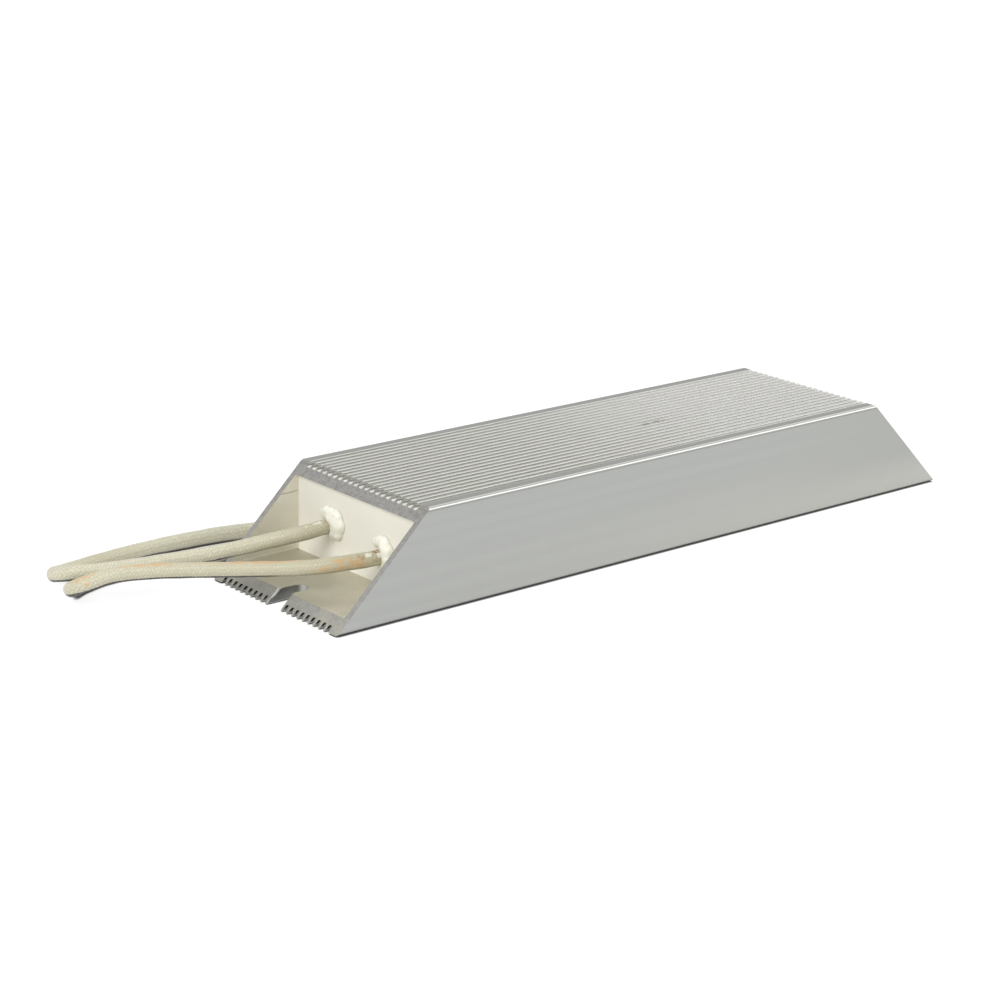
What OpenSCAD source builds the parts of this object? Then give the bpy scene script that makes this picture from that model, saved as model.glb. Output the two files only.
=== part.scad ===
// Aluminium housed wirewound power resistor with two flying leads.
// X runs along the housing and the leads leave its -X end, Y runs across it, Z is up.
// The origin is the centre of the base. All sizes are in millimetres.

/* [Housing] */
// Length of the base from end to end
base_length = 248; // [200:1:340]
// Width over the side walls
housing_width = 60; // [56:1:80]
// Height from the base to the top face
housing_height = 31; // [30:1:45]
// Thickness of the side walls
side_wall = 2; // [1.5:0.1:3]
// Thickness of the grooved top and bottom walls, measured over the fins
grooved_wall = 3.9; // [2.6:0.1:4.4]
// Angle between the base and each sawn end
end_angle = 44; // [38:1:60]
// Radius of the four long outer edges
edge_radius = 1; // [0.3:0.1:1.5]
// Radius in the four long corners of the cavity
cavity_radius = 0.5; // [0.2:0.1:1]

/* [Grooves] */
// Distance from one groove to the next
groove_pitch = 2.5; // [2.2:0.1:4]
// Width of a groove between its fins
groove_width = 1.5; // [1:0.1:1.6]
// Depth of a groove
groove_depth = 1.6; // [0.6:0.1:1.8]
// Rounding in the two corners of a groove's floor
groove_corner = 0.4; // [0.1:0.05:0.45]
// Rounding at the tips of the fins
fin_tip_radius = 0.25; // [0.1:0.05:0.3]
// Flat strip left beside the outermost groove
flat_margin = 4.25; // [2:0.25:8]

/* [Mounting slots] */
// Width of the open slot at each end of the base
slot_width = 5.5; // [4.5:0.1:8]
// Distance from the end of the base to the centre of a slot's round end
slot_inset = 9; // [6:0.5:16]
// Rounding where the sides of a slot meet the sawn end
slot_lip_radius = 1; // [0.3:0.1:2]

/* [End seals] */
// Distance that a seal's face lies behind the inner lip of the top wall
seal_setback = 1.06; // [0.5:0.02:4]
// Thickness of the cast cement seals
seal_thickness = 6; // [4:0.5:10]
// Thickness of the mica sheets over and under the filling
mica_thickness = 0.5; // [0.3:0.1:1]

/* [Resistance element] */
// Distance between the axes of the two ceramic cores
core_spacing = 24.5; // [22.5:0.5:30]
// Outer diameter of a ceramic core
core_diameter = 16; // [12:0.5:17]
// Diameter of the bore through a core
core_bore = 8; // [4:0.5:9]
// Distance between a seal and the end cap that faces it
cap_gap = 6; // [4:0.5:12]
// Wall thickness of the metal end caps
cap_wall = 0.8; // [0.5:0.1:1]
// Length of an end cap along its core
cap_length = 8; // [6:0.5:12]
// Number of turns on each core
turns = 10; // [6:1:14]
// Diameter of the resistance wire
wire_diameter = 2; // [1:0.1:2.2]
// Height of the strap that links the two cores at the closed end
strap_height = 8; // [5:0.5:12]
// Thickness of the link strap
strap_thickness = 1; // [0.5:0.1:2]
// Diameter of the stiff conductors from the caps to the leads
conductor_diameter = 2.2; // [1.5:0.1:3]

/* [Leads] */
// Outside diameter of the braided leads
lead_diameter = 4.5; // [4:0.1:5]
// Distance of the back lead's exit from the middle of the housing
back_lead_y = 12.2; // [10:0.1:14]
// Height of the back lead's exit
back_lead_z = 15.2; // [13:0.1:17]
// Distance of the front lead's exit from the middle of the housing
front_lead_y = -12.4; // [-14:0.1:-10]
// Height of the front lead's exit
front_lead_z = 12.6; // [11:0.1:17]

/* [Ring lugs] */
// Hole for the terminal screw
lug_hole = 5.3; // [4.3:0.1:6.4]
// Outer diameter of the ring
lug_ring = 9.6; // [9:0.1:12]
// Thickness of the tongue
lug_tongue = 0.9; // [0.6:0.1:1.2]
// Length of the crimped barrel
lug_barrel = 7; // [5:0.5:10]
// Distance from the barrel to the centre of the ring
lug_reach = 7.5; // [6.5:0.5:12]

/* [Hidden] */

// Clearance between pieces that slide into each other, and the overrun of a cut past a face
fit = 0.05;
over = 1;

// Cavity of the extrusion
cavity_width = housing_width - 2 * side_wall;
cavity_height = housing_height - 2 * grooved_wall;
mid_z = housing_height / 2;

// The sawn ends lean inwards by this much from the base up to a height z.
// The seal's face is kept to a hundredth of a millimetre, and all that lies behind it follows.
function end_lean(z) = z / tan(end_angle);
seal_x = round(100 * (base_length / 2 - end_lean(housing_height - grooved_wall) - seal_setback)) / 100;
filling_x = seal_x - seal_thickness;
mica_width = cavity_width - 2 * cavity_radius;
filling_height = cavity_height - 2 * mica_thickness;

// Grooves: as many as fit between the two flat strips
groove_room = housing_width - 2 * flat_margin - groove_width;
groove_count = floor(groove_room / groove_pitch + 0.001) + 1;
first_groove = -(groove_count - 1) * groove_pitch / 2;

// Resistance element
core_y = core_spacing / 2;
cap_x = filling_x - cap_gap;
core_x = cap_x - cap_wall;
cap_radius = core_diameter / 2 + cap_wall + fit;
winding_x = cap_x - cap_length;
wire_lift = 0.12;
winding_radius = core_diameter / 2 + wire_diameter / 2 + wire_lift;
pocket_radius = winding_radius + wire_diameter / 2 + fit;
turn_steps = 18;
wire_sides = 6;

// Leads: centre lines laid by hand from the exits, round a fold and back behind the housing
lead_sides = 12;
lay_z = 2.3;
back_route = [
    [-seal_x, back_lead_y, back_lead_z], [-seal_x - 3.5, back_lead_y, back_lead_z],
    [-101.2, 12.9, 14.7], [-105.2, 14.1, 14.1], [-109.2, 16.2, 13.2], [-113.2, 18.9, 12.1],
    [-117.2, 21.7, 10.9], [-122.3, 24.6, 9.8], [-129.3, 27.4, 8.9], [-136.8, 29.9, 8.4],
    [-144.9, 32.2, 8], [-152.9, 34.4, 7.8], [-159.9, 36.7, 7.6], [-164, 39.2, 7.5],
    [-166.2, 43, 6.5], [-165.8, 47.9, 4.9], [-162.1, 52.2, 3.3], [-156.5, 54.7, 2.5],
    [-148.9, 56.4, lay_z], [-140.9, 57.4, lay_z], [-131.9, 58.1, lay_z], [-121.9, 58.4, lay_z],
    [-111.8, 58, lay_z], [-101.8, 56.8, lay_z], [-91.6, 54.2, lay_z], [-81.4, 51.2, lay_z],
    [-70.2, 48.6, lay_z], [-58, 47, lay_z], [-45, 46.5, lay_z], [-31, 46.5, lay_z],
    [-17, 46.5, lay_z], [-3, 46.5, lay_z], [11, 46.5, lay_z], [25, 46.5, lay_z],
    [43, 46.5, lay_z]
];
front_route = [
    [-seal_x, front_lead_y, front_lead_z], [-seal_x - 3.5, front_lead_y, front_lead_z],
    [-101.6, -11.5, 12.4], [-105.6, -10, 12.2], [-109.6, -8.1, 11.8], [-113.6, -5.6, 11.3],
    [-119.2, 0.4, 10.3], [-125.2, 7.4, 9.4], [-131.3, 13.9, 8.7], [-137.8, 20.4, 8.1],
    [-144.8, 25.7, 7.8], [-151.9, 29.2, 7.7], [-158.9, 30.8, 7.7], [-163.5, 30.3, 7.5],
    [-167, 30.9, 6.8], [-168.4, 33.4, 5.4], [-167.3, 36.4, 4], [-164.4, 39.1, 2.7],
    [-160.3, 42.1, lay_z], [-152.8, 44.6, lay_z], [-144.8, 45.1, lay_z], [-135.7, 43.1, lay_z],
    [-126.7, 41.6, lay_z], [-116.6, 41.6, lay_z], [-107.5, 41.9, lay_z], [-98.4, 41.7, lay_z],
    [-88.3, 40.1, lay_z], [-78.1, 38, lay_z], [-66, 36.5, lay_z], [-52, 36, lay_z],
    [-38, 36, lay_z], [-24, 36, lay_z], [-10, 36, lay_z], [4, 36, lay_z],
    [18, 36, lay_z], [32, 36, lay_z]
];

// Cement beads: round drops as [offset across, offset up, radius on the seal, height]
bead_height = 2.2;
back_drops = [
    [3, 3, 2, 0.9], [1.2, 3.8, 2.2, 1.4], [-1, 3.8, 2.4, 1.9], [-3, 3, 2.9, bead_height],
    [-4, 1, 2.9, bead_height], [-3.6, -1, 2.5, 2], [-2, -1.9, 2, 1.6]
];
front_drops = [
    [2.9, 3.4, 1.6, 0.8], [0.9, 4.2, 2.1, 1.5], [-1.3, 3.9, 2.5, 2.1], [-2.7, 2.4, 2.5, bead_height],
    [-3.1, 0.2, 2.2, 2], [-1.9, -1.8, 2.1, 1.7], [0.1, -2.8, 1.7, 1.4]
];

// Points of an arc about c from angle a to angle b
function arc(c, r, a, b, steps) = [for (i = [0:steps]) c + r * [cos(a + (b - a) * i / steps), sin(a + (b - a) * i / steps)]];

function unit(v) = v / norm(v);

// Rectangle about the origin with rounded corners
function rounded_box(w, h, r) = [
    for (q = [0:3])
        let (sx = (q == 0 || q == 3) ? 1 : -1, sy = q < 2 ? 1 : -1)
        for (p = arc([sx * (w / 2 - r), sy * (h / 2 - r)], r, 90 * q, 90 * q + 90, 4)) p
];

// One groove, cut down from the origin, with its two fin tips and its floor's corners rounded
function groove_outline() = concat(
    [[-groove_width / 2 - fin_tip_radius, over], [-groove_width / 2 - fin_tip_radius, 0]],
    arc([-groove_width / 2 - fin_tip_radius, -fin_tip_radius], fin_tip_radius, 90, 0, 3),
    arc([-groove_width / 2 + groove_corner, -groove_depth + groove_corner], groove_corner, 180, 270, 3),
    arc([groove_width / 2 - groove_corner, -groove_depth + groove_corner], groove_corner, 270, 360, 3),
    arc([groove_width / 2 + fin_tip_radius, -fin_tip_radius], fin_tip_radius, 180, 90, 3),
    [[groove_width / 2 + fin_tip_radius, over]]
);

// Extrudes a section drawn in Y and Z along X, from x1 to x2
module along_x(x1, x2) {
    translate([x1, 0, 0]) rotate([90, 0, 90]) linear_extrude(x2 - x1) children();
}

// Round bar along X
module bar_x(x1, x2, d, y, z) {
    translate([x1, y, z]) rotate([0, 90, 0]) cylinder(h = x2 - x1, d = d, $fn = 48);
}

// Section of the extrusion: grooved walls above and below, plain walls at the sides
module housing_section() {
    difference() {
        translate([0, mid_z]) polygon(rounded_box(housing_width, housing_height, edge_radius));
        cavity_section();
        for (i = [0:groove_count - 1], side = [0, 1])
            translate([first_groove + i * groove_pitch, side * housing_height])
                mirror([0, 1 - side]) polygon(groove_outline());
    }
}

module cavity_section() {
    translate([0, mid_z]) polygon(rounded_box(cavity_width, cavity_height, cavity_radius));
}

// Wedge that saws the +X end at the end angle
module end_cut() {
    reach = 2 * housing_height;
    translate([0, housing_width / 2 + over, 0]) rotate([90, 0, 0]) linear_extrude(housing_width + 2 * over)
        polygon([
            [base_length / 2 + end_lean(over), -over],
            [base_length / 2 - end_lean(housing_height + over), housing_height + over],
            [base_length / 2 + reach, housing_height + over],
            [base_length / 2 + reach, -over]
        ]);
}

// Open mounting slot in the base at the +X end
module mounting_slot() {
    depth = grooved_wall + 2 * over;
    translate([base_length / 2 - slot_inset, 0, -over]) {
        cylinder(h = depth, d = slot_width, $fn = 64);
        translate([0, -slot_width / 2, 0]) cube([slot_inset + 2 * over, slot_width, depth]);
    }
}

// Rounds the lip of the +X slot on its +Y side, along the slope of the sawn end
module slot_lip() {
    side = slot_width / 2;
    translate([base_length / 2, 0, 0]) rotate([0, end_angle - 90, 0])
        translate([0, 0, -over / sin(end_angle)]) linear_extrude((grooved_wall + 2 * over) / sin(end_angle))
            polygon(concat(
                [[over, side - over], [over, side + slot_lip_radius]],
                arc([-slot_lip_radius, side + slot_lip_radius], slot_lip_radius, 0, -90, 6),
                [[-slot_lip_radius, side - over]]
            ));
}

module housing() {
    color([0.74, 0.75, 0.77])
        difference() {
            along_x(-base_length / 2 - over, base_length / 2 + over) housing_section();
            for (side = [0, 1]) mirror([side, 0, 0]) {
                end_cut();
                mounting_slot();
                slot_lip();
                mirror([0, 1, 0]) slot_lip();
            }
        }
}

// Cement seal cast into the cavity at the +X end
module seal_block() {
    along_x(filling_x, seal_x) cavity_section();
}

module lead_end_seal() {
    color([0.93, 0.91, 0.85])
        difference() {
            mirror([1, 0, 0]) seal_block();
            for (exit = [[back_lead_y, back_lead_z], [front_lead_y, front_lead_z]])
                bar_x(-seal_x - over, -filling_x + over, conductor_diameter + 2 * fit, exit[0], exit[1]);
        }
}

module blind_end_seal() {
    color([0.93, 0.91, 0.85]) seal_block();
}

// Sheet of mica; side is 1 at the top of the cavity and -1 at its bottom
module mica_sheet(side) {
    z = mid_z + side * (cavity_height / 2 - mica_thickness / 2);
    color([0.78, 0.72, 0.6])
        translate([0, 0, z]) cube([2 * filling_x, mica_width, mica_thickness], center = true);
}

module mica_sheet_top() {
    mica_sheet(1);
}

module mica_sheet_bottom() {
    mica_sheet(-1);
}

// Room for one core with its caps and winding
module element_pocket(y) {
    bar_x(-cap_x, cap_x, 2 * (cap_radius + fit), y, mid_z);
    bar_x(-winding_x, winding_x, 2 * pocket_radius, y, mid_z);
}

// Quartz sand packed round the two cores, between the seals and the mica
module sand_filling() {
    color([0.86, 0.82, 0.73])
        difference() {
            along_x(-filling_x, filling_x)
                difference() {
                    cavity_section();
                    for (side = [-1, 1])
                        translate([0, mid_z + side * (filling_height + mica_thickness + over) / 2])
                            square([mica_width, mica_thickness + over], center = true);
                }
            for (y = [-core_y, core_y]) element_pocket(y);
            bar_x(-filling_x - over, -cap_x + over, conductor_diameter + 2 * fit, back_lead_y, back_lead_z);
            bar_x(-filling_x - over, -cap_x + over, conductor_diameter + 2 * fit, front_lead_y, front_lead_z);
            translate([cap_x - over, -strap_half - fit, mid_z - strap_height / 2 - fit])
                cube([strap_thickness + over + fit, 2 * (strap_half + fit), strap_height + 2 * fit]);
        }
}

// The strap runs to the outer rim of both caps
strap_half = core_y + core_diameter / 4;

module ceramic_core(y) {
    color([0.95, 0.94, 0.9])
        difference() {
            bar_x(-core_x, core_x, core_diameter, y, mid_z);
            bar_x(-core_x - over, core_x + over, core_bore, y, mid_z);
        }
}

module ceramic_core_back() {
    ceramic_core(core_y);
}

module ceramic_core_front() {
    ceramic_core(-core_y);
}

// Direction of a path at point i; its two ends take the directions first and last
function path_tangent(path, i, first, last) =
    i == 0 ? first : i == len(path) - 1 ? last : unit(unit(path[i + 1] - path[i]) + unit(path[i] - path[i - 1]));

// Points of a tube's ring, square to the tangent, with k = sides / 4 on the side that up points to
function ring(centre, tangent, up, r, sides) =
    let (across = unit(cross(up, tangent)), rise = cross(tangent, across))
    [for (k = [0:sides - 1]) centre + r * (cos(360 * k / sides) * across + sin(360 * k / sides) * rise)];

function tube_faces(rings, sides) = concat(
    [[for (k = [0:sides - 1]) k]],
    [for (i = [0:rings - 2], k = [0:sides - 1])
        let (a = i * sides + k, b = i * sides + (k + 1) % sides)
        each [[a, a + sides, b + sides], [a, b + sides, b]]],
    [[for (k = [0:sides - 1]) rings * sides - 1 - k]]
);

// Closed tube along a path of points; ups holds each ring's upward direction
module swept_tube(path, ups, r, sides, first, last) {
    points = [
        for (i = [0:len(path) - 1]) for (p = ring(path[i], path_tangent(path, i, first, last), ups[i], r, sides)) p
    ];
    polyhedron(points, tube_faces(len(path), sides), convexity = 12);
}

// Resistance wire wound on one core; each end runs straight along the core into its cap
module resistance_winding(y) {
    tail = 1.5 * wire_diameter;
    steps = turn_steps * turns;
    coil = [
        for (i = [0:steps])
            let (angle = 360 * i / turn_steps, x = (winding_x - tail) * (2 * i / steps - 1))
            [x, winding_radius * cos(angle), winding_radius * sin(angle)]
    ];
    path = [for (i = [-2:steps + 2]) coil[min(max(i, 0), steps)] + [(min(i, 0) + max(i - steps, 0)) * tail / 2, 0, 0]];
    color([0.45, 0.43, 0.4])
        translate([0, y, mid_z])
            swept_tube(path, [for (p = path) unit([0, p[1], p[2]])], wire_diameter / 2, wire_sides, [1, 0, 0], [1, 0, 0]);
}

module resistance_winding_back() {
    resistance_winding(core_y);
}

module resistance_winding_front() {
    resistance_winding(-core_y);
}

// Metal cap pressed over the end of a core; side is -1 at the lead end and 1 at the link end
module end_cap(y, side) {
    color([0.72, 0.71, 0.68])
        mirror([side < 0 ? 1 : 0, 0, 0])
            difference() {
                bar_x(winding_x, cap_x, 2 * cap_radius, y, mid_z);
                bar_x(winding_x - over, core_x, core_diameter + 2 * fit, y, mid_z);
            }
}

module lead_end_cap_back() {
    end_cap(core_y, -1);
}

module lead_end_cap_front() {
    end_cap(-core_y, -1);
}

module link_end_cap_back() {
    end_cap(core_y, 1);
}

module link_end_cap_front() {
    end_cap(-core_y, 1);
}

// Strap that joins the two cores in series at the closed end
module link_strap() {
    color([0.75, 0.74, 0.7])
        translate([cap_x, -strap_half, mid_z - strap_height / 2])
            cube([strap_thickness, 2 * strap_half, strap_height]);
}

module conductor_back() {
    color([0.8, 0.6, 0.45]) bar_x(-seal_x, -cap_x, conductor_diameter, back_lead_y, back_lead_z);
}

module conductor_front() {
    color([0.8, 0.6, 0.45]) bar_x(-seal_x, -cap_x, conductor_diameter, front_lead_y, front_lead_z);
}

// Cement laid round a lead where it leaves the seal
module cement_bead(y, z, drops) {
    color([0.96, 0.95, 0.9])
        difference() {
            intersection() {
                union() {
                    for (drop = drops) {
                        r = (drop[2] * drop[2] + drop[3] * drop[3]) / (2 * drop[3]);
                        translate([-seal_x - drop[3] + r, y + drop[0], z + drop[1]]) sphere(r, $fn = 48);
                    }
                }
                translate([-seal_x - 2 * bead_height, y - 20, z - 20]) cube([2 * bead_height, 40, 40]);
            }
            bar_x(-seal_x - 3 * bead_height, -seal_x + over, lead_diameter + 2 * fit, y, z);
        }
}

module cement_bead_back() {
    cement_bead(back_lead_y, back_lead_z, back_drops);
}

module cement_bead_front() {
    cement_bead(front_lead_y, front_lead_z, front_drops);
}

// Flexible lead in a braided glass sleeve
module lead(route) {
    color([0.9, 0.87, 0.76])
        swept_tube(route, [for (p = route) [0, 0, 1]], lead_diameter / 2, lead_sides, [-1, 0, 0], [1, 0, 0]);
}

module lead_back() {
    lead(back_route);
}

module lead_front() {
    lead(front_route);
}

// Crimped ring lug on the end of a lead, lying flat
module ring_lug(route) {
    end = route[len(route) - 1];
    barrel_r = lay_z;
    neck = 0.8 * barrel_r;
    ring_x = lug_barrel + lug_reach;
    color([0.78, 0.78, 0.76])
        translate([end[0], end[1], 0])
            difference() {
                union() {
                    bar_x(0, lug_barrel, 2 * barrel_r, 0, barrel_r);
                    linear_extrude(lug_tongue) {
                        translate([ring_x, 0]) circle(d = lug_ring, $fn = 64);
                        polygon([
                            [lug_barrel - over, -neck], [ring_x, -0.45 * lug_ring],
                            [ring_x, 0.45 * lug_ring], [lug_barrel - over, neck]
                        ]);
                    }
                    translate([0, neck, 0]) rotate([90, 0, 0]) linear_extrude(2 * neck)
                        polygon([
                            [lug_barrel - over, 0.1], [lug_barrel + 2.4, 0.1],
                            [lug_barrel + 2.4, lug_tongue], [lug_barrel, 1.5 * barrel_r], [lug_barrel - over, 1.5 * barrel_r]
                        ]);
                }
                translate([ring_x, 0, -over]) cylinder(h = lug_tongue + 2 * over, d = lug_hole, $fn = 64);
                translate([lug_barrel / 2, barrel_r + over, 2 * barrel_r + 0.5]) rotate([90, 0, 0])
                    cylinder(h = 2 * (barrel_r + over), r = 1.3, $fn = 32);
            }
}

module ring_lug_back() {
    ring_lug(back_route);
}

module ring_lug_front() {
    ring_lug(front_route);
}

housing();
lead_end_seal();
blind_end_seal();
sand_filling();
mica_sheet_top();
mica_sheet_bottom();
ceramic_core_back();
ceramic_core_front();
resistance_winding_back();
resistance_winding_front();
lead_end_cap_back();
lead_end_cap_front();
link_end_cap_back();
link_end_cap_front();
link_strap();
conductor_back();
conductor_front();
cement_bead_back();
cement_bead_front();
lead_back();
lead_front();
ring_lug_back();
ring_lug_front();
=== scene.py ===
# Aluminium housed power resistor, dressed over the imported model.
# Metres, in the part's own frame. Order: camera, leads, cement beads, materials, stage and lights.
import math
from types import SimpleNamespace

import bmesh
import bpy
import numpy as np
from mathutils import Matrix, Vector, noise


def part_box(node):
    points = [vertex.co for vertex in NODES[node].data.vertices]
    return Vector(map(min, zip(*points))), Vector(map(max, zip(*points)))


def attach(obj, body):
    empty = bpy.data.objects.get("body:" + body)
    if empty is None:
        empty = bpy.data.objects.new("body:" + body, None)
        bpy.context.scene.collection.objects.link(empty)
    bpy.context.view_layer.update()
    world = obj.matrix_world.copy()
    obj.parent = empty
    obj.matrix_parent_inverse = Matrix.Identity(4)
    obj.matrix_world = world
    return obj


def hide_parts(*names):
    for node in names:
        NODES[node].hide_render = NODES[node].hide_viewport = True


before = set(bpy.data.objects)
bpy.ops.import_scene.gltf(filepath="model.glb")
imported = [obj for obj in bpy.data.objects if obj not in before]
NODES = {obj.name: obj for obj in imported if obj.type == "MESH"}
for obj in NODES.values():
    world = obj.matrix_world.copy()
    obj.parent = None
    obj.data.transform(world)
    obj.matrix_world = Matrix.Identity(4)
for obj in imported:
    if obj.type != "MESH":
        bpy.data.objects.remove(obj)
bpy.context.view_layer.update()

# ---------------------------------------------------------------- camera
# it stands where the photo was taken from, as fitted to the housing's corners
CAMERA_PLACE = (-0.51503, -0.55115, 0.24548)
CAMERA_RIGHT = (0.76272, -0.64630, 0.02381)
CAMERA_FORWARD = (0.62198, 0.72293, -0.30085)
SENSOR_MM = 36.0
LENS_MM = 91.54
CLIP = (0.01, 50.0)

right = Vector(CAMERA_RIGHT).normalized()
forward = Vector(CAMERA_FORWARD).normalized()
up = right.cross(forward).normalized()
cam_data = bpy.data.cameras.new("camera")
cam_data.sensor_width = SENSOR_MM
cam_data.lens = LENS_MM
cam_data.clip_start, cam_data.clip_end = CLIP
camera = bpy.data.objects.new("camera", cam_data)
bpy.context.scene.collection.objects.link(camera)
turn = Matrix((right, up, -forward)).transposed().to_4x4()
camera.matrix_world = Matrix.Translation(CAMERA_PLACE) @ turn
bpy.context.scene.camera = camera


# ---------------------------------------------------------------- mesh helpers
def new_mesh(name, verts, faces, smooth=True):
    me = bpy.data.meshes.new(name)
    me.from_pydata([tuple(v) for v in verts], [], faces)
    me.update()
    if smooth:
        me.polygons.foreach_set("use_smooth", [True] * len(me.polygons))
    ob = bpy.data.objects.new(name, me)
    bpy.context.scene.collection.objects.link(ob)
    return ob


CURVE_STEPS = 60    # steps of the smooth curve from one point of a route to the next


def smooth_line(points, step):
    """Evenly spaced points on one smooth curve through the given ones, and their distances along it."""
    p = np.array(points, dtype=float)
    p = np.vstack([2 * p[0] - p[1], p, 2 * p[-1] - p[-2]])
    out = []
    for i in range(1, len(p) - 2):
        p0, p1, p2, p3 = p[i - 1], p[i], p[i + 1], p[i + 2]
        d1, d2, d3 = (math.sqrt(np.linalg.norm(b - a)) for a, b in ((p0, p1), (p1, p2), (p2, p3)))
        m1 = (p1 - p0) / d1 - (p2 - p0) / (d1 + d2) + (p2 - p1) / d2
        m2 = (p2 - p1) / d2 - (p3 - p1) / (d2 + d3) + (p3 - p2) / d3
        m1, m2 = m1 * d2, m2 * d2
        for t in np.linspace(0, 1, CURVE_STEPS, endpoint=False):
            out.append((2 * t**3 - 3 * t**2 + 1) * p1 + (t**3 - 2 * t**2 + t) * m1
                       + (3 * t**2 - 2 * t**3) * p2 + (t**3 - t**2) * m2)
    out = np.array(out + [p[-2]])
    along = np.concatenate([[0], np.cumsum(np.linalg.norm(np.diff(out, axis=0), axis=1))])
    n = int(round(along[-1] / step)) + 1
    s = np.linspace(0, along[-1], n)
    return np.stack([np.interp(s, along, out[:, k]) for k in range(3)], axis=1), s


# ---------------------------------------------------------------- leads
LEAD_D = 0.0045
# the routes are in millimetres, as in the part's source
BACK_ROUTE = [
    (-94.88, 12.2, 15.2), (-98.38, 12.2, 15.2), (-101.2, 12.9, 14.7), (-105.2, 14.1, 14.1),
    (-109.2, 16.2, 13.2), (-113.2, 18.9, 12.1), (-117.2, 21.7, 10.9), (-122.3, 24.6, 9.8),
    (-129.3, 27.4, 8.9), (-136.8, 29.9, 8.4), (-144.9, 32.2, 8), (-152.9, 34.4, 7.8),
    (-159.9, 36.7, 7.6), (-164, 39.2, 7.5), (-166.2, 43, 6.5), (-165.8, 47.9, 4.9),
    (-162.1, 52.2, 3.3), (-156.5, 54.7, 2.5), (-148.9, 56.4, 2.3), (-140.9, 57.4, 2.3),
    (-131.9, 58.1, 2.3), (-121.9, 58.4, 2.3), (-111.8, 58, 2.3), (-101.8, 56.8, 2.3),
    (-91.6, 54.2, 2.3), (-81.4, 51.2, 2.3), (-70.2, 48.6, 2.3), (-58, 47, 2.3), (-45, 46.5, 2.3),
    (-31, 46.5, 2.3), (-17, 46.5, 2.3), (-3, 46.5, 2.3), (11, 46.5, 2.3), (25, 46.5, 2.3),
    (43, 46.5, 2.3)]
FRONT_ROUTE = [
    (-94.88, -12.4, 12.6), (-98.38, -12.4, 12.6), (-101.6, -11.5, 12.4), (-105.6, -10, 12.2),
    (-109.6, -8.1, 11.8), (-113.6, -5.6, 11.3), (-119.2, 0.4, 10.3), (-125.2, 7.4, 9.4),
    (-131.3, 13.9, 8.7), (-137.8, 20.4, 8.1), (-144.8, 25.7, 7.8), (-151.9, 29.2, 7.7),
    (-158.9, 30.8, 7.7), (-163.5, 30.3, 7.5), (-167, 30.9, 6.8), (-168.4, 33.4, 5.4),
    (-167.3, 36.4, 4), (-164.4, 39.1, 2.7), (-160.3, 42.1, 2.3), (-152.8, 44.6, 2.3),
    (-144.8, 45.1, 2.3), (-135.7, 43.1, 2.3), (-126.7, 41.6, 2.3), (-116.6, 41.6, 2.3),
    (-107.5, 41.9, 2.3), (-98.4, 41.7, 2.3), (-88.3, 40.1, 2.3), (-78.1, 38, 2.3), (-66, 36.5, 2.3),
    (-52, 36, 2.3), (-38, 36, 2.3), (-24, 36, 2.3), (-10, 36, 2.3), (4, 36, 2.3),
    (18, 36, 2.3), (32, 36, 2.3)]

YARNS = 12          # yarns each way round the sleeve
TURN = 0.0118       # length of sleeve for one full turn of a yarn
SIDES = 84          # points round the sleeve
STEP = 0.00027      # distance between its rings
RELIEF = 0.00014    # how far the yarns rise and dip
CREST = 0.00004     # how far a yarn's crest stands out past the lead's radius
UNEVEN = 0.00002    # how much the yarns differ in thickness
WOBBLE = 0.05       # how far the yarns stray from their even spacing, in spacings
MEAN_LIFT = 0.35    # a yarn's height half-way between its crest and its dip, as a share of the relief
LIFT = 0.9          # and how far it rises from there to its crest
OVAL = 0.012        # how far the sleeve is from round: two lobes,
LOBED = 0.008       # and three
FULL_BEND = 120     # curvature, in 1/m, past which the sleeve stretches no further
STRETCH = 0.35      # how much longer a yarn's turn is there
BEND_BLUR = 40      # rings over which a bend's stretch is evened out


def carried_sides(pts):
    """Directions along, beside and above a line, carried along it without a twist."""
    tan = np.gradient(pts, axis=0)
    tan /= np.linalg.norm(tan, axis=1)[:, None]
    side = np.zeros_like(pts)
    side[0] = np.cross(tan[0], (0, 0, 1))
    side[0] /= np.linalg.norm(side[0])
    for i in range(1, len(pts)):
        v = side[i - 1] - tan[i] * side[i - 1].dot(tan[i])
        side[i] = v / np.linalg.norm(v)
    return tan, side, np.cross(side, tan)


def turns_along(tan):
    """Turns of a yarn up to each ring. The sleeve stretches in a bend, so the yarns lie steeper there."""
    bend = np.linalg.norm(np.gradient(tan, axis=0), axis=1) / STEP
    bend = np.convolve(np.clip(bend / FULL_BEND, 0, 1), np.ones(BEND_BLUR) / BEND_BLUR, mode="same")
    return np.cumsum(np.full(len(tan), STEP) / (TURN * (1 + STRETCH * bend)))


def weave(U, V, rng):
    """Yarn height and tint over the unrolled sleeve, and which of the two ways runs on top."""
    wob = sum(rng.normal() * WOBBLE / k * np.sin(2 * np.pi * (k * 3 * V + rng.random())) for k in (1, 2, 3))
    ua = YARNS * (U + V) + wob
    ub = YARNS * (U - V) + wob
    ia, ib = np.floor(ua), np.floor(ub)
    fa, fb = ua - ia, ub - ib
    za = np.cos(np.pi / 2 * (ub + ia) - np.pi / 2)
    zb = -np.cos(np.pi / 2 * (ua + ib) - np.pi / 2)
    over = (za > zb).astype(float)
    # a float is round across its yarn and dives under its neighbour at both ends
    round_a, round_b = (np.sqrt(np.clip(1 - (2 * f - 1) ** 2, 0, 1)) for f in (fa, fb))
    rise_a, rise_b = (np.clip(MEAN_LIFT + LIFT * z, 0, 1) for z in (za, zb))
    h = np.where(over > 0.5, round_a * rise_a, round_b * rise_b)
    tint_a = rng.random(YARNS)[ia.astype(int) % YARNS]
    tint_b = rng.random(YARNS)[ib.astype(int) % YARNS]
    return h, np.where(over > 0.5, tint_a, tint_b), over


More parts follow.
